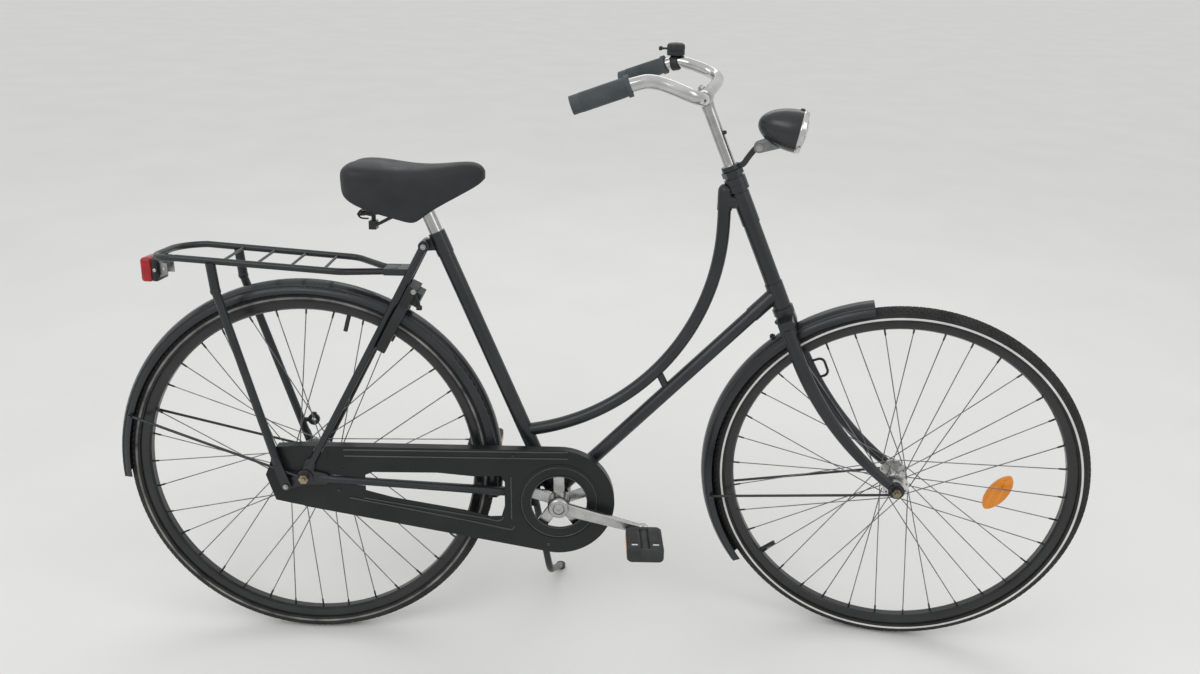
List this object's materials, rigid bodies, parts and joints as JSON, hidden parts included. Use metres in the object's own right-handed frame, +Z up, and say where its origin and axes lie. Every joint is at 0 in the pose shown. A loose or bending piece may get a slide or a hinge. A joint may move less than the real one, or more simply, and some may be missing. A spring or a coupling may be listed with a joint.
{
  "type": "step-through city bicycle",
  "caption": "Black step-through city bicycle on its side stand: swept bars, padded saddle, tube carrier, mudguards, chain guard, lamps, free wheels, steering, crank, pedals.",
  "frame": {"origin": "on the floor, midway between the two wheel contact points of the parked bicycle", "axes": "+X forward along the wheel line, +Y to the rider's left, +Z up"},
  "size_m": [1.8131, 0.5732, 1.0983],
  "materials": {
    "frame_paint": "gloss black enamel",
    "sheet_paint": "gloss black enamel on pressed steel",
    "black_plastic": "satin black moulding",
    "black_steel": "satin black coated steel",
    "chrome": "bright plated",
    "alloy": "polished alloy",
    "bare_steel": "plated steel",
    "tyre_rubber": "black rubber with a pale wall stripe",
    "grip_rubber": "matt black",
    "saddle_vinyl": "smooth black vinyl",
    "clear_lens": "clear lens in a bright ring",
    "red_lens": "clear red moulding",
    "amber_lens": "amber prism moulding"
  },
  "bodies": {
    "frame": {"head_tube": "frame_paint", "top_tube": "frame_paint", "down_tube": "frame_paint", "tube_bridge": "frame_paint", "seat_tube": "frame_paint", "bottom_bracket": "frame_paint", "chain_stays": "frame_paint", "seat_stays": "frame_paint", "seat_post": "chrome", "saddle": "saddle_vinyl", "saddle_springs": "black_steel", "rear_mudguard": "sheet_paint", "rear_mudguard_stays": "sheet_paint", "rear_axle_set": "bare_steel", "chain_guard": "sheet_paint", "chain_guard_rear": "sheet_paint", "chain": "bare_steel", "sprocket": "bare_steel", "brake_arm": "bare_steel", "rack": "sheet_paint", "rack_legs": "sheet_paint", "rear_lamp": "black_plastic", "rear_lamp_lens": "red_lens", "ring_lock": "black_plastic", "stand_plate": "black_steel"},
    "stand": {"stand_leg": "black_steel"},
    "crank": {"crank_spindle": "bare_steel", "chainring": "alloy", "crank_right": "alloy", "crank_left": "alloy"},
    "pedal_right": {"pedal_right": "black_plastic"},
    "pedal_left": {"pedal_left": "black_plastic"},
    "steering": {"fork": "frame_paint", "headset": "frame_paint", "stem": "chrome", "handlebar": "chrome", "grips": "grip_rubber", "bell": "black_plastic", "headlamp_shell": "black_plastic", "headlamp_lens": "clear_lens", "lamp_bracket": "black_steel", "front_mudguard": "sheet_paint", "front_mudguard_stays": "sheet_paint", "front_axle_set": "bare_steel"},
    "front_wheel": {"front_tyre": "tyre_rubber", "front_rim": "black_steel", "front_spokes": "bare_steel", "front_hub": "alloy", "spoke_reflector": "amber_lens"},
    "rear_wheel": {"rear_tyre": "tyre_rubber", "rear_rim": "black_steel", "rear_spokes": "bare_steel", "rear_hub": "alloy"}
  },
  "joints": [
    {"name": "steering", "type": "hinge", "parent": "frame", "child": "steering", "pos_m": [0.27575, 0.11562, 0.7611], "axis": [-0.4045, 0.1376, 0.9041], "range_deg": [-62.2, 87.8]},
    {"name": "front_wheel_spin", "type": "hinge", "parent": "steering", "child": "front_wheel", "pos_m": [0.55469, 0.03307, 0.34544], "axis": [0.2028, 0.9775, -0.0581], "continuous": true},
    {"name": "rear_wheel_spin", "type": "hinge", "parent": "frame", "child": "rear_wheel", "pos_m": [-0.55736, 0.05204, 0.34227], "axis": [0.0002, 0.9886, -0.1504], "continuous": true},
    {"name": "crank_turn", "type": "hinge", "parent": "frame", "child": "crank", "pos_m": [-0.08631, 0.04527, 0.29827], "axis": [0.0002, 0.9886, -0.1504], "continuous": true},
    {"name": "pedal_right_spin", "type": "hinge", "parent": "crank", "child": "pedal_right", "pos_m": [0.07116, -0.09553, 0.27718], "axis": [0.0002, 0.9886, -0.1504], "continuous": true},
    {"name": "pedal_left_spin", "type": "hinge", "parent": "crank", "child": "pedal_left", "pos_m": [-0.24378, 0.18607, 0.31936], "axis": [0.0002, 0.9886, -0.1504], "continuous": true},
    {"name": "stand_fold", "type": "hinge", "parent": "frame", "child": "stand", "pos_m": [-0.14527, 0.07863, 0.26481], "axis": [0.3384, 0.8325, 0.4388], "range_deg": [0, 101.5]}
  ]
}
